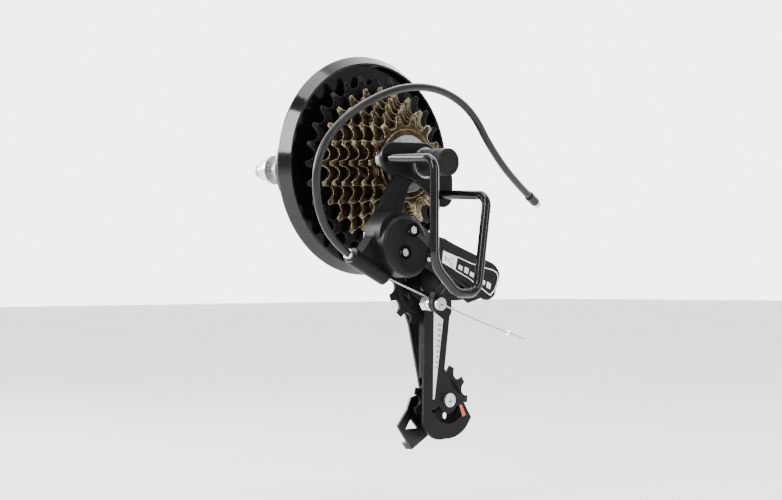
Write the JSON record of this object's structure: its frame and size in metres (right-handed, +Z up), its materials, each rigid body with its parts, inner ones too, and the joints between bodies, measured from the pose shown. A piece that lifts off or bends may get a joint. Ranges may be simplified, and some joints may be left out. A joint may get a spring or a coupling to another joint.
{
  "type": "bicycle rear hub with freewheel and derailleur",
  "caption": "Bicycle rear hub with a stepped freewheel, spoke protector, rear derailleur, tubular guard and its shift cable housing.",
  "frame": {"origin": "centre of the hub on the axle line, halfway between the two locknut faces", "axes": "+Y along the axle line towards the non-drive side, +X towards the front of the bicycle, +Z up"},
  "size_m": [0.2164, 0.216, 0.2596],
  "materials": {
    "threaded_steel": "threaded, lightly oiled",
    "bearing_steel": "ground and polished",
    "plain_steel": "turned, oiled",
    "zinc_steel": "zinc plated",
    "spring_steel": "drawn wire",
    "wire_steel": "bright stranded wire",
    "bright_screws": "bright cross-head screws",
    "bright_ferrule": "bright, lightly scratched",
    "dark_ferrule": "moulded",
    "cap_plastic": "satin moulded with a raised edge ring",
    "black_paint": "satin black paint",
    "gloss_black_paint": "gloss black paint",
    "gloss_black_plastic": "gloss moulded",
    "hub_alloy": "black anodised",
    "bronze_steel": "brown oiled steel with bright tooth edges",
    "black_steel": "satin black with worn tooth edges",
    "knuckle_resin": "fine grained black resin",
    "link_resin": "satin black with a white bordered label",
    "cage_black": "satin black with a pale stripe",
    "cage_steel": "dark phosphated steel",
    "pulley_resin": "moulded nylon",
    "housing_vinyl": "satin vinyl sleeve"
  },
  "bodies": {
    "axle_group": {"axle": "threaded_steel", "axle_cones": "bearing_steel", "axle_spacers": "plain_steel", "axle_locknuts": "plain_steel", "axle_washers": "zinc_steel", "axle_nuts": "zinc_steel", "axle_nut_cap": "cap_plastic", "hanger_bracket": "black_paint", "hanger_bolt": "zinc_steel", "b_pivot_bolt": "zinc_steel", "guard_plate": "black_paint", "guard_rod": "gloss_black_paint"},
    "hub": {"hub_shell": "hub_alloy", "bearing_cups": "bearing_steel", "hub_dust_caps": "plain_steel", "spoke_protector": "gloss_black_plastic", "freewheel_inner_body": "plain_steel", "freewheel_locking_cone": "plain_steel", "pawl_spring": "spring_steel"},
    "hub_ball_rows": {"hub_balls": "bearing_steel"},
    "freewheel_ball_rows": {"freewheel_balls": "bearing_steel"},
    "upper_pawl": {"pawl_upper": "bearing_steel"},
    "lower_pawl": {"pawl_lower": "bearing_steel"},
    "freewheel": {"freewheel_outer_body": "bronze_steel", "sprocket_14t": "bronze_steel", "sprocket_16t": "bronze_steel", "sprocket_18t": "bronze_steel", "sprocket_20t": "bronze_steel", "sprocket_22t": "bronze_steel", "sprocket_24t": "bronze_steel", "sprocket_28t": "black_steel", "sprocket_spacers": "bronze_steel"},
    "b_knuckle_body": {"b_knuckle": "knuckle_resin", "b_link_pins": "plain_steel", "b_spring": "spring_steel", "parallelogram_spring": "spring_steel", "limit_screws": "bright_screws", "rear_ferrule": "bright_ferrule", "cable_housing": "housing_vinyl", "front_ferrule": "dark_ferrule", "wire_head": "zinc_steel"},
    "outer_link_body": {"outer_link": "link_resin", "cable_clamp_bolt": "zinc_steel", "cable_clamp_washer": "zinc_steel", "cable_clamp_nut": "zinc_steel", "inner_wire": "wire_steel", "wire_crimp": "bright_ferrule"},
    "inner_link_body": {"inner_link": "knuckle_resin"},
    "p_knuckle_body": {"p_knuckle": "knuckle_resin", "p_link_pins": "plain_steel", "p_spring": "spring_steel"},
    "cage": {"cage_outer_plate": "cage_black", "cage_inner_plate": "cage_steel", "p_pivot_bolt": "plain_steel", "pulley_bolts": "zinc_steel", "pulley_bushings": "plain_steel", "pulley_dust_caps": "plain_steel"},
    "guide_wheel": {"guide_pulley": "pulley_resin"},
    "tension_wheel": {"tension_pulley": "pulley_resin"}
  },
  "joints": [
    {"name": "hub_spin", "type": "hinge", "parent": "axle_group", "child": "hub", "pos_m": [0, 0, 0], "axis": [0, 1, 0], "continuous": true},
    {"name": "hub_ball_orbit", "type": "hinge", "parent": "axle_group", "child": "hub_ball_rows", "pos_m": [0, 0, 0], "axis": [0, 1, 0], "continuous": true},
    {"name": "freewheel_spin", "type": "hinge", "parent": "hub", "child": "freewheel", "pos_m": [0, 0, 0], "axis": [0, 1, 0], "continuous": true},
    {"name": "freewheel_ball_orbit", "type": "hinge", "parent": "hub", "child": "freewheel_ball_rows", "pos_m": [0, 0, 0], "axis": [0, 1, 0], "continuous": true},
    {"name": "upper_pawl_fold", "type": "hinge", "parent": "hub", "child": "upper_pawl", "pos_m": [0, -0.046, 0.0146], "axis": [0, 1, 0], "range_deg": [-8.5, 0], "deforming": ["pawl_spring"]},
    {"name": "lower_pawl_fold", "type": "hinge", "parent": "hub", "child": "lower_pawl", "pos_m": [0, -0.046, -0.0146], "axis": [0, 1, 0], "range_deg": [-8.5, 0]},
    {"name": "b_pivot", "type": "hinge", "parent": "axle_group", "child": "b_knuckle_body", "pos_m": [-0.034, -0.082, -0.047], "axis": [0, 1, 0], "range_deg": [0, 25], "deforming": ["b_spring"]},
    {"name": "shift", "type": "hinge", "parent": "b_knuckle_body", "child": "outer_link_body", "pos_m": [-0.006, -0.094, -0.0545], "axis": [0.5358, 0.3568, 0.7652], "range_deg": [-8, 38], "deforming": ["inner_wire", "parallelogram_spring"]},
    {"name": "inner_link_swing", "type": "hinge", "parent": "b_knuckle_body", "child": "inner_link_body", "pos_m": [-0.00887, -0.08092, -0.05859], "axis": [0.5358, 0.3568, 0.7652], "range_deg": [-8, 38]},
    {"name": "p_knuckle_level", "type": "hinge", "parent": "outer_link_body", "child": "p_knuckle_body", "pos_m": [0.02946, -0.10415, -0.07459], "axis": [0.5358, 0.3568, 0.7652], "range_deg": [-38, 8]},
    {"name": "cage_swing", "type": "hinge", "parent": "p_knuckle_body", "child": "cage", "pos_m": [0.021, -0.07, -0.0755], "axis": [0, 1, 0], "range_deg": [-40, 25], "deforming": ["p_spring"]},
    {"name": "guide_pulley_spin", "type": "hinge", "parent": "cage", "child": "guide_wheel", "pos_m": [0.0135, -0.0565, -0.0805], "axis": [0, 1, 0], "continuous": true},
    {"name": "tension_pulley_spin", "type": "hinge", "parent": "cage", "child": "tension_wheel", "pos_m": [0.0345, -0.0565, -0.155], "axis": [0, 1, 0], "continuous": true}
  ],
  "couplings": [
    {"joint": "hub_ball_orbit", "follows": "hub_spin", "ratio": 0.617},
    {"joint": "freewheel_ball_orbit", "follows": "freewheel_spin", "ratio": 0.532},
    {"joint": "inner_link_swing", "follows": "shift", "ratio": 1},
    {"joint": "p_knuckle_level", "follows": "shift", "ratio": -1}
  ]
}
